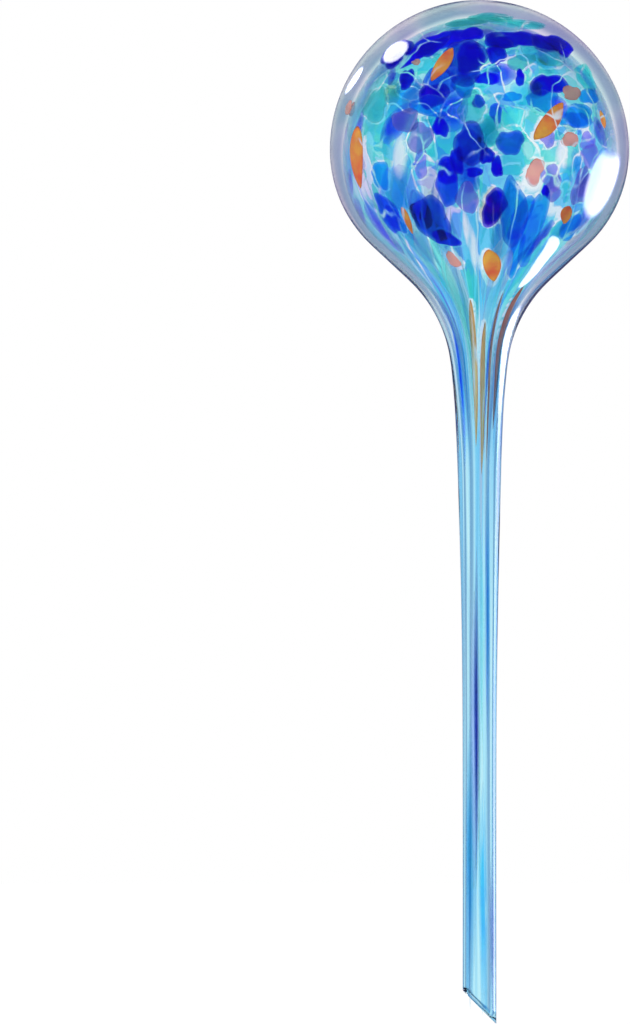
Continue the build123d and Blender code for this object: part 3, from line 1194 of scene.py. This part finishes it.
def speck_tree():
    """Builds the tree that scatters small flat pebbles of frit over a wall."""
    kinds = dict.fromkeys(("Width", "Spacing", "Stretch", "Low height", "High height"), "NodeSocketFloat")
    kinds |= {"Seed": "NodeSocketInt", "Material": "NodeSocketMaterial"}
    tree, given, result = new_tree("Frit specks", kinds)
    # Points where there is room
    room = add_node(tree, "GeometryNodeInputNamedAttribute", {"Name": "room"}, data_type="FLOAT")
    scatter = add_node(
        tree,
        "GeometryNodeDistributePointsOnFaces",
        {
            "Mesh": given["Geometry"],
            "Distance Min": given["Spacing"],
            "Density Max": 1e6,
            "Density Factor": room,
            "Seed": given["Seed"],
        },
        distribute_method="POISSON",
    )
    # Size: a speck is longer the further down it lies
    position = add_node(tree, "GeometryNodeInputPosition")
    spot = add_node(tree, "ShaderNodeSeparateXYZ", [position]).outputs
    stretching = [spot["Z"], given["High height"], given["Low height"], 1.0, given["Stretch"]]
    drawn = add_node(tree, "ShaderNodeMapRange", stretching)
    size = add_node(tree, "FunctionNodeRandomValue", {2: 0.35, 3: 1.0, 8: given["Seed"]})
    width = add_node(tree, "ShaderNodeMath", [given["Width"], size], operation="MULTIPLY")
    drawn_width = add_node(tree, "ShaderNodeMath", [width, drawn], operation="MULTIPLY")
    long = add_node(tree, "FunctionNodeRandomValue", {2: 1.0, 3: 1.9, 8: 3})
    length = add_node(tree, "ShaderNodeMath", [drawn_width, long], operation="MULTIPLY")
    scale = add_node(tree, "ShaderNodeCombineXYZ", [width, length, SPECK_DEPTH])
    # Turn: flat on the wall, upright, and then leaning
    align = "FunctionNodeAlignRotationToVector"
    facing = add_node(tree, align, {"Vector": scatter.outputs["Normal"]}, axis="Z")
    up = (0.0, 0.0, 1.0)
    upright = add_node(tree, align, {"Rotation": facing, "Vector": up}, axis="Y", pivot_axis="Z")
    lean = add_node(tree, "FunctionNodeRandomValue", {2: -0.9, 3: 0.9, 8: 5})
    turn = add_node(tree, "ShaderNodeCombineXYZ", {"Z": lean})
    turned = add_node(tree, "FunctionNodeRotateRotation", [upright, turn], rotation_space="LOCAL")
    # Form: a ball that knows how deep each point is and how near the rim
    ball = add_node(tree, "GeometryNodeMeshIcoSphere", {"Radius": 0.5, "Subdivisions": 3})
    depth = add_node(tree, "ShaderNodeMath", [0.5, spot["Z"]], operation="SUBTRACT")
    flat = add_node(tree, "ShaderNodeCombineXYZ", [spot["X"], spot["Y"]])
    reach = add_node(tree, "ShaderNodeVectorMath", [flat], operation="LENGTH")
    rim = add_node(tree, "ShaderNodeMath", [reach, 2.0], operation="MULTIPLY")
    store = "GeometryNodeStoreNamedAttribute"
    deep = add_node(tree, store, {"Geometry": ball, "Name": "depth", "Value": depth})
    rimmed = add_node(tree, store, {"Geometry": deep, "Name": "rim", "Value": rim})
    places = {"Points": scatter, "Instance": rimmed, "Rotation": turned, "Scale": scale}
    specks = add_node(tree, "GeometryNodeInstanceOnPoints", places)
    tone = add_node(tree, "FunctionNodeRandomValue", {2: 0.0, 3: 1.0, 8: 7})
    toned = add_node(tree, store, {"Geometry": specks, "Name": "tone", "Value": tone}, domain="INSTANCE")
    # Melting: the outlines wander
    real = add_node(tree, "GeometryNodeRealizeInstances", [toned])
    swirl_size, swirl_reach = 4 * MM, 3 * MM
    swirl = add_node(tree, "ShaderNodeTexNoise", {"Scale": 1 / swirl_size, "Detail": 1.0}).outputs["Color"]
    centred = add_node(tree, "ShaderNodeVectorMath", [swirl, (0.5, 0.5, 0.5)], operation="SUBTRACT")
    sway = add_node(tree, "ShaderNodeVectorMath", {0: centred, "Scale": swirl_reach}, operation="SCALE")
    wandered = add_node(tree, "GeometryNodeSetPosition", {"Geometry": real, "Offset": sway})
    end_tree(tree, wandered, given, result)
    return tree


def bulb_patch(name, low_fall, high_fall):
    """Makes a plain piece of the inner wall, with room marked on its sides and back where nothing lies."""
    falls = np.arange(low_fall, high_fall, PATCH_STEP)
    grid_turns, grid_falls = np.meshgrid(round_turns(PATCH_SEGMENTS), falls)
    points = INNER_WALL.place(grid_turns.ravel(), grid_falls.ravel())
    room = (np.abs(turn_between(grid_turns.ravel(), 0)) > NEAR_BEARING).astype(float)
    taken = []
    for node in frame["nodes"]:
        if node.endswith("_chips"):
            for solid in solids_of(node):
                middle = solid.mean(axis=0)
                reach = np.linalg.norm(solid - middle, axis=1).max()
                taken.append((middle, 0.8 * reach))
                if node.startswith(WARM_COLOURS) and middle[1] < 0:
                    taken.append((middle * np.array([1, -1, 1]), reach + CLEAR_MARGIN))
    for column, row, across, along in PALE_PATCHES:
        bearing, fall = seen_spot(column, row)
        taken.append((INNER_WALL.place(pi - bearing, fall)[0], across * PIXEL + CLEAR_MARGIN))
    for middle, reach in taken:
        room[np.linalg.norm(points - middle, axis=1) < reach] = 0
    faces = []
    for ring in range(len(falls) - 1):
        upper, lower = ring * PATCH_SEGMENTS, (ring + 1) * PATCH_SEGMENTS
        for turn in range(PATCH_SEGMENTS):
            after = (turn + 1) % PATCH_SEGMENTS
            faces.append((upper + turn, lower + turn, lower + after, upper + after))
    mesh = bpy.data.meshes.new(name)
    mesh.from_pydata(points.tolist(), [], faces)
    add_attribute(mesh, "room", room)
    return mesh


class GLOBE_OT_specks(bpy.types.Operator):
    """Scatters small chips of each colour over the sides and the back of the bulb"""

    bl_idname = "globe.specks"
    bl_label = "Frit specks"

    def execute(self, context):
        sizes = context.scene.globe_sizes
        tree = speck_tree()
        mesh = bulb_patch("speck_patch", 8 * MM, BULB_FALL + 26 * MM)
        for number, (name, spacing) in enumerate(SPECK_SPACING.items()):
            values = {
                "Width": sizes.speck_width,
                "Spacing": spacing,
                "Stretch": SPECK_STRETCH,
                "Low height": float(INNER_WALL.at(NECK_FALL)[1]),
                "High height": BULB_HEIGHT,
                "Seed": sizes.seed + number,
                "Material": thin_material(name),
            }
            piece = grow(f"{name}_specks_glass", mesh, tree, values)
            depth = SPECK_GAP + read_values(piece.data, "depth") * SPECK_DEPTH
            points = INNER_WALL.press(read_points(piece.data), depth)
            write_points(piece.data, points)
            add_attribute(piece.data, "flow", wall_flow(points))
            tidy_mesh(piece.data)
            fit_piece(piece, f"{name}_glass")
        return {"FINISHED"}


def thread_tree():
    """Builds the tree that lays tapered threads on the unrolled wall: bearing X, depth Y and fall -Z."""
    kinds = {"Count": "NodeSocketInt", "Seed": "NodeSocketInt", "Material": "NodeSocketMaterial"}
    kinds |= dict.fromkeys(("Spread", "Shortest", "Longest", "Top", "Foot"), "NodeSocketFloat")
    tree, given, result = new_tree("Stem threads", kinds)
    # Points: the middle of each thread
    bearing = add_node(tree, "FunctionNodeRandomValue", {2: -pi, 3: pi, 8: given["Seed"]})
    height = add_node(tree, "FunctionNodeRandomValue", {2: given["Foot"], 3: given["Top"], 8: 11})
    middle = add_node(tree, "ShaderNodeCombineXYZ", {"X": bearing, "Z": height})
    points = add_node(tree, "GeometryNodePoints", [given["Count"], middle])
    # Form: a rod that tapers to both ends
    rod_sizes = {"Vertices": 8, "Side Segments": 48, "Radius": 0.5, "Depth": 1.0}
    rod = add_node(tree, "GeometryNodeMeshCylinder", rod_sizes, fill_type="NGON")
    position = add_node(tree, "GeometryNodeInputPosition")
    spot = add_node(tree, "ShaderNodeSeparateXYZ", [position]).outputs
    apart = add_node(tree, "ShaderNodeMath", [spot["Z"]], operation="ABSOLUTE")
    taper = add_node(tree, "ShaderNodeMapRange", [apart, 0.05, 0.5, 1.0, 0.04], **SMOOTH)
    slim = add_node(tree, "ShaderNodeCombineXYZ", [taper, taper, 1.0])
    tapered = add_node(tree, "ShaderNodeVectorMath", [position, slim], operation="MULTIPLY")
    aside = add_node(tree, "ShaderNodeMath", [spot["X"]], operation="ABSOLUTE")
    rim = add_node(tree, "ShaderNodeMath", [aside, 2.0], operation="MULTIPLY")
    store = "GeometryNodeStoreNamedAttribute"
    rimmed = add_node(tree, store, {"Geometry": rod, "Name": "rim", "Value": rim})
    thread = add_node(tree, "GeometryNodeSetPosition", {"Geometry": rimmed, "Position": tapered})
    # Size: spread, depth and length
    share = add_node(tree, "FunctionNodeRandomValue", {2: 0.3, 3: 1.0, 8: 13})
    spread = add_node(tree, "ShaderNodeMath", [given["Spread"], share], operation="MULTIPLY")
    length = add_node(tree, "FunctionNodeRandomValue", {2: given["Shortest"], 3: given["Longest"], 8: 17})
    scale = add_node(tree, "ShaderNodeCombineXYZ", [spread, SPECK_DEPTH, length])
    places = {"Points": points, "Instance": thread, "Scale": scale}
    threads = add_node(tree, "GeometryNodeInstanceOnPoints", places)
    tone = add_node(tree, "FunctionNodeRandomValue", {2: 0.0, 3: 1.0, 8: 19})
    toned = add_node(tree, store, {"Geometry": threads, "Name": "tone", "Value": tone}, domain="INSTANCE")
    end_tree(tree, toned, given, result)
    return tree


class GLOBE_OT_threads(bpy.types.Operator):
    """Draws long threads of each colour down the neck and the stem"""

    bl_idname = "globe.threads"
    bl_label = "Stem threads"

    def execute(self, context):
        tree = thread_tree()
        neck_top, neck_foot = BULB_FALL + 14 * MM, NECK_FALL + 25 * MM
        for number, (name, row) in enumerate(THREADS.items()):
            seed = context.scene.globe_sizes.seed + number
            neck_count, neck_spread, stem_count, stem_spread = row
            neck = {"Count": neck_count, "Spread": neck_spread, "Top": -neck_top, "Foot": -neck_foot}
            stem = {"Count": stem_count, "Spread": stem_spread, "Top": -neck_foot, "Foot": -STEM_FALL}
            for place, values, lengths in (
                ("neck", neck, NECK_THREAD_LENGTHS),
                ("stem", stem, STEM_THREAD_LENGTHS),
            ):
                values["Shortest"], values["Longest"] = lengths
                values["Seed"] = seed
                self.draw_threads(tree, name, place, values)
        return {"FINISHED"}

    def draw_threads(self, tree, name, place, values):
        """Draws one colour's threads, and lays them on the wall with a slow sway."""
        values["Material"] = drawn_material(name, place)
        mesh = bpy.data.meshes.new(f"{name}_thread_start")
        piece = grow(f"{name}_{place}_threads_glass", mesh, tree, values)
        flat = read_points(piece.data)
        fall = np.clip(-flat[:, 2], BULB_FALL, STEM_FALL - TIP_LENGTH)
        sway = 0.12 * np.sin(fall / (31 * MM) + flat[:, 0]) + 0.05 * np.sin(fall / (9 * MM))
        depth = THREAD_GAP + (0.5 * SPECK_DEPTH + flat[:, 1])
        write_points(piece.data, INNER_WALL.place(flat[:, 0] + sway, fall, depth))
        tidy_mesh(piece.data)
        fit_piece(piece, f"{name}_glass")


# Stage


def tent_collar(tree, look):
    """Adds a soft-edged collar round the ways ahead and behind, and gives how far each way lies in it."""
    parts = add_node(tree, "ShaderNodeSeparateXYZ", [look]).outputs
    ahead = add_node(tree, "ShaderNodeMath", [parts["Y"]], operation="ABSOLUTE")
    angle = add_node(tree, "ShaderNodeMath", [ahead], operation="ARCCOSINE")
    away = add_node(tree, "ShaderNodeMath", [angle, COLLAR_ANGLE], operation="SUBTRACT")
    far = add_node(tree, "ShaderNodeMath", [away], operation="ABSOLUTE")
    full = 0.3 * COLLAR_HALF_WIDTH
    return add_node(tree, "ShaderNodeMapRange", [far, full, COLLAR_HALF_WIDTH, 1.0, 0.0], **SMOOTH)


def softbox(tree, facing, column, row, half_wide, half_tall, lean, upper_share):
    """Adds a soft-edged softbox in the world, by its highlight, and gives how bright it is each way."""
    ball = BULB_RADIUS / PIXEL
    middle = Vector((column - AXIS_COLUMN, 0, BALL_ROW - row)) / ball
    turn = radians(lean)
    short_axis = Vector((np.cos(turn), 0, -np.sin(turn))) * ball / half_wide
    long_axis = Vector((np.sin(turn), 0, np.cos(turn))) * ball / half_tall
    squares = []
    for axis in (short_axis, long_axis):
        along = add_node(tree, "ShaderNodeVectorMath", [facing, axis], operation="DOT_PRODUCT")
        away = add_node(tree, "ShaderNodeMath", [along, middle.dot(axis)], operation="SUBTRACT")
        squares.append(add_node(tree, "ShaderNodeMath", [away, 2.0], operation="POWER"))
    spread = add_node(tree, "ShaderNodeMath", squares, operation="ADD")
    inside = add_node(tree, "ShaderNodeMapRange", [spread, 0.6, 1.1, 1.0, 0.0], **SMOOTH)
    # The last way measured is along the softbox, so it says how near its upper end is
    dimmed = add_node(tree, "ShaderNodeMapRange", [away, 0.45, 0.85, 1.0, upper_share], **SMOOTH)
    return add_node(tree, "ShaderNodeMath", [inside, dimmed], operation="MULTIPLY")


def studio_world():
    """Sets a white tent round the globe: its collar shades the glass's edges and its softboxes gloss it."""
    stage = bpy.context.scene.globe_stage
    world = bpy.data.worlds.new("white tent")
    world.use_nodes = True
    tree = world.node_tree
    tree.nodes.clear()
    look = add_node(tree, "ShaderNodeTexCoord").outputs["Generated"]
    path = add_node(tree, "ShaderNodeLightPath").outputs
    # A surface that throws the front view this way faces halfway between the two
    back = add_node(tree, "ShaderNodeVectorMath", [look, (0.0, 1.0, 0.0)], operation="SUBTRACT")
    facing = add_node(tree, "ShaderNodeVectorMath", [back], operation="NORMALIZE")
    shine = 0.0
    for box in SOFTBOXES:
        lit = softbox(tree, facing, *box)
        shine = add_node(tree, "ShaderNodeMath", [shine, lit], operation="MAXIMUM")
    # Brightness: gloss sees a dim room with softboxes, and the camera and the glass see white
    gloss = add_node(tree, "ShaderNodeMapRange", [shine, 0.0, 1.0, stage.gloss_light, stage.softbox_light])
    rays = [path["Is Glossy Ray"], path["Is Transmission Ray"]]
    mirrored = add_node(tree, "ShaderNodeMath", rays, operation="SUBTRACT", use_clamp=True)
    seen = add_node(tree, "ShaderNodeMix", {0: mirrored, 2: 1.0, 3: gloss})
    shown = add_node(tree, "ShaderNodeMix", {0: path["Is Camera Ray"], 2: seen, 3: 1.0})
    soft = add_node(tree, "ShaderNodeMix", {0: path["Is Diffuse Ray"], 2: shown, 3: stage.soft_light})
    # Light that leaves matt frit through the glass has bounced once and passed a wall
    matt = add_node(tree, "ShaderNodeMath", [path["Diffuse Depth"], 0.5], operation="GREATER_THAN")
    walled = add_node(tree, "ShaderNodeMath", [path["Transmission Depth"], 0.5], operation="GREATER_THAN")
    from_frit = add_node(tree, "ShaderNodeMath", [matt, walled], operation="MULTIPLY")
    strength = add_node(tree, "ShaderNodeMix", {0: from_frit, 2: soft, 3: stage.frit_light})
    # Colour: white with its collar, which the camera doesn't see, and the room's own colour in gloss
    collar = tent_collar(tree, look)
    tinted = add_node(tree, "ShaderNodeMath", [collar, stage.collar_shade], operation="MULTIPLY")
    unseen = add_node(tree, "ShaderNodeMath", [1.0, path["Is Camera Ray"]], operation="SUBTRACT")
    shaded = add_node(tree, "ShaderNodeMath", [tinted, unseen], operation="MULTIPLY")
    tent = add_node(tree, "ShaderNodeMixRGB", [shaded, WHITE, opaque(stage.collar_colour)])
    dim = add_node(tree, "ShaderNodeMath", [mirrored, shine], operation="SUBTRACT", use_clamp=True)
    room = add_node(tree, "ShaderNodeMixRGB", [dim, tent, opaque(stage.gloss_colour)])
    light = add_node(tree, "ShaderNodeBackground", [room, strength])
    add_node(tree, "ShaderNodeOutputWorld", [light])
    bpy.context.scene.world = world


def floor_material():
    """White sweep paper, shown white to the camera and through glass, with the globe's soft shadow on it."""
    values = {"Base Color": opaque(linear("#F4F4F2")), "Roughness": 0.9}
    material, tree, shader = new_material("white sweep paper", values)
    path = add_node(tree, "ShaderNodeLightPath").outputs
    rays = [path["Is Camera Ray"], path["Is Transmission Ray"]]
    shown = add_node(tree, "ShaderNodeMath", rays, operation="MAXIMUM")
    white_share = 0.75
    share = add_node(tree, "ShaderNodeMath", [shown, white_share], operation="MULTIPLY")
    white = add_node(tree, "ShaderNodeEmission", {"Color": WHITE, "Strength": 1.16})
    mixed = add_node(tree, "ShaderNodeMixShader", [share, shader, white])
    tree.links.new(mixed.outputs["Shader"], tree.nodes["Material Output"].inputs["Surface"])
    return material


class GLOBE_OT_stage(bpy.types.Operator):
    """Sets the floor, the white tent, a soft lamp and the camera"""

    bl_idname = "globe.stage"
    bl_label = "Stage"

    def execute(self, context):
        scene = context.scene
        self.lay_floor(scene.globe_stage)
        studio_world()
        self.hang_lamp(scene.globe_stage)
        scene.camera = self.place_camera(scene.globe_stage)
        scene.view_settings.view_transform = "Standard"
        return {"FINISHED"}

    def lay_floor(self, stage):
        """Lays the floor, which the glass looks past."""
        half = stage.floor_size / 2
        corners = np.array([(-half, -half, 0), (half, -half, 0), (half, half, 0), (-half, half, 0)])
        floor = make_object("floor", corners, [(0, 1, 2, 3)], [floor_material()])
        floor.visible_glossy = False
        floor.visible_transmission = False
        floor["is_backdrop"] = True

    def hang_lamp(self, stage):
        """Hangs a large soft lamp over the globe, left of the camera."""
        lamp = bpy.data.lights.new("overhead softbox", "AREA")
        lamp.size = stage.lamp_size
        lamp.energy = stage.lamp_power
        overhead = bpy.data.objects.new("overhead softbox", lamp)
        overhead.location = (-0.3, -0.5, 1.5)
        overhead.rotation_euler = (radians(18), radians(-12), 0)
        overhead.visible_glossy = False
        overhead.visible_transmission = False
        bpy.context.scene.collection.objects.link(overhead)

    def place_camera(self, stage):
        """Places a camera at the photo's viewing angle, with the globe as large as it is there."""
        height = CASING_BOX[1].z
        lens = bpy.data.cameras.new("camera")
        lens.sensor_width = 36
        lens.lens = stage.camera_distance / height * lens.sensor_width
        lens.clip_end = 4 * stage.floor_size
        camera = bpy.data.objects.new("camera", lens)
        aside = (PHOTO_WIDTH / 2 - AXIS_COLUMN) * PIXEL
        camera.location = (aside, -stage.camera_distance, height / 2)
        camera.rotation_euler = (pi / 2, 0, 0)
        bpy.context.scene.collection.objects.link(camera)
        return camera


# Settings


def colour_property(name, description, code):
    """Makes a colour setting from a hex sRGB value."""
    return FloatVectorProperty(
        name=name, description=description, subtype="COLOR", size=3, min=0, max=1, default=linear(code)
    )


def length_property(name, description, millimetres):
    """Makes a length setting from a size in millimetres."""
    return FloatProperty(
        name=name, description=description, default=millimetres * MM, min=0, unit="LENGTH", precision=5
    )


def share_property(name, description, share):
    """Makes a setting for a share, a strength or a brightness."""
    return FloatProperty(name=name, description=description, default=share, min=0)


class GlobeSizes(bpy.types.PropertyGroup):
    """Sizes of the globe's glass"""

    mitre_angle: FloatProperty(
        name="Mitre", description="Angle of the cut at the stem's tip", default=radians(45), subtype="ANGLE"
    )
    lip_radius: length_property("Lip", "Rounding of the melted edges at the tip", 0.3)
    unevenness: length_property("Unevenness", "How far the blown wall wanders from true", 0.18)
    sliver_stretch: share_property("Sliver stretch", "How much longer an amber sliver melts", 1.3)
    streak_spread: share_property("Streak spread", "How much wider a neck streak melts", 1.9)
    streak_tail: length_property("Streak tail", "How much further a neck streak thins out at each end", 5.0)
    speck_width: length_property("Speck", "Width of the largest speck of frit", 9.0)
    seed: IntProperty(name="Seed", description="Number that sets the scatter of the frit", default=7)


class GlobeGlass(bpy.types.PropertyGroup):
    """Colours of the globe's glass"""

    clear: colour_property("Clear", "Clear glass of the casing", "#FCFFFF")
    violet_haze: colour_property("Violet haze", "Faint violet of the casing", "#E4DAF4")
    green_haze: colour_property("Green haze", "Faint green of the casing", "#CFEFF0")
    bare: colour_property("Bare", "Patches where the film has drawn apart", "#F2FBFF")
    aqua: colour_property("Aqua", "Pale film of melted frit", "#80E8F2")
    film: colour_property("Film", "Deeper film of melted frit", "#38D2E2")
    teal: colour_property("Teal", "Green film of melted frit", "#3CD0CC")
    azure_film: colour_property("Azure film", "Blue film of melted frit", "#2C8EF4")
    sky_film: colour_property("Sky film", "Light blue film of melted frit", "#3CBEF8")
    mist: colour_property("Mist", "Violet film of melted frit", "#B6B8F8")
    cobalt_streak: colour_property("Cobalt streak", "Deep blue where it is drawn out", "#5058B4")
    azure_streak: colour_property("Azure streak", "Mid blue where it is drawn out", "#52B4F0")
    sky_streak: colour_property("Sky streak", "Light blue where it is drawn out", "#9CE0FC")
    pale_streak: colour_property("Pale streak", "Nearly clear glass of the stem", "#C8F6FE")
    mauve_streak: colour_property("Mauve streak", "Grey violet where colours cross", "#8C96C8")
    cobalt: colour_property("Cobalt", "Deep blue frit", "#061CE6")
    royal: colour_property("Royal", "Cobalt frit that has melted out thinner", "#2E6CEC")
    azure: colour_property("Azure", "Mid blue frit", "#28A8FA")
    turquoise: colour_property("Turquoise", "Blue-green frit", "#74E2E2")
    lavender: colour_property("Lavender", "Pale violet frit", "#A9A2EE")
    amber: colour_property("Amber", "Orange frit", "#FFA650")
    coral: colour_property("Coral", "Pink-brown frit", "#F8B4A8")
    rust: colour_property("Rust", "Brown frit", "#CC6450")


class GlobeStage(bpy.types.PropertyGroup):
    """Sizes and lights of the stage"""

    camera_distance: length_property("Camera distance", "From the axis", 4000)
    floor_size: length_property("Floor", "Side of the floor", 3000)
    lamp_size: length_property("Lamp size", "Side of the overhead softbox", 1200)
    lamp_power: FloatProperty(
        name="Lamp", description="Power of the overhead softbox", default=6.0, min=0, unit="POWER"
    )
    soft_light: share_property("Soft light", "Brightness of the tent on matt surfaces", 0.85)
    frit_light: share_property("Frit light", "Brightness of the tent on frit in the wall", 1.9)
    collar_colour: colour_property("Collar colour", "Colour of the tent's collar", "#8098C0")
    collar_shade: share_property("Collar shade", "How deep the collar's colour is", 0.75)
    gloss_light: share_property("Gloss light", "Brightness of the room in gloss", 0.3)
    gloss_colour: colour_property("Gloss colour", "Colour of the room in gloss", "#9494EC")
    softbox_light: share_property("Softbox light", "Brightness of the softboxes in gloss", 12.0)


OPERATORS = (
    GLOBE_OT_chips,
    GLOBE_OT_small_chips,
    GLOBE_OT_specks,
    GLOBE_OT_streaks,
    GLOBE_OT_stem_streaks,
    GLOBE_OT_threads,
    GLOBE_OT_casing,
    GLOBE_OT_stage,
)


class GLOBE_PT_panel(bpy.types.Panel):
    """Lists the steps that build the globe"""

    bl_idname = "GLOBE_PT_panel"
    bl_label = "Watering globe"
    bl_space_type = "VIEW_3D"
    bl_region_type = "UI"
    bl_category = "Globe"

    def draw(self, context):
        for operator in OPERATORS:
            self.layout.operator(operator.bl_idname)


CLASSES = (GlobeSizes, GlobeGlass, GlobeStage, *OPERATORS, GLOBE_PT_panel)


def register():
    for kind in CLASSES:
        bpy.utils.register_class(kind)
    bpy.types.Scene.globe_sizes = PointerProperty(type=GlobeSizes)
    bpy.types.Scene.globe_glass = PointerProperty(type=GlobeGlass)
    bpy.types.Scene.globe_stage = PointerProperty(type=GlobeStage)


def unregister():
    del bpy.types.Scene.globe_stage
    del bpy.types.Scene.globe_glass
    del bpy.types.Scene.globe_sizes
    for kind in reversed(CLASSES):
        bpy.utils.unregister_class(kind)


def main():
    """Builds the globe and its stage."""
    register()
    bpy.ops.globe.chips()
    bpy.ops.globe.small_chips()
    bpy.ops.globe.specks()
    bpy.ops.globe.streaks()
    bpy.ops.globe.stem_streaks()
    bpy.ops.globe.threads()
    bpy.ops.globe.casing()
    bpy.ops.globe.stage()
    for title, box in (("cad", CAD_BOX), ("visual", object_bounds())):
        [list(corner) for corner in box]


if __name__ == "__main__":
    main()
